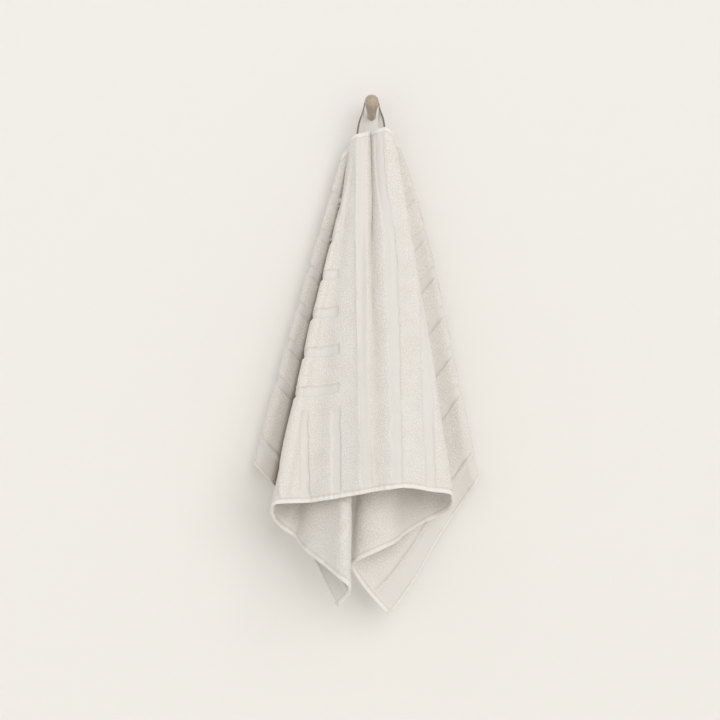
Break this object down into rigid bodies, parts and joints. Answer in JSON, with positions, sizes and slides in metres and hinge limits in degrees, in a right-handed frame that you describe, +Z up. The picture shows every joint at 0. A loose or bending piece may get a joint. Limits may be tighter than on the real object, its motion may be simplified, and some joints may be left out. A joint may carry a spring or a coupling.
{
  "type": "towel on wall peg",
  "caption": "Folded terry hand towel with woven grooves, hung by a sewn tape loop over a tapered wooden wall peg.",
  "frame": {"origin": "centre of the peg's flat wall face", "axes": "+Y into the wall, +Z up, +X to the right as seen by someone who faces the wall"},
  "size_m": [0.3081, 0.1804, 0.7048],
  "materials": {
    "terry": "matte sculpted cotton terry with flat-woven grooves",
    "tape": "matte woven cotton tape",
    "peg_wood": "matte turned light hardwood"
  },
  "bodies": {
    "root": {"towel": "terry", "hanging_loop": "tape", "peg": "peg_wood"}
  },
  "joints": []
}
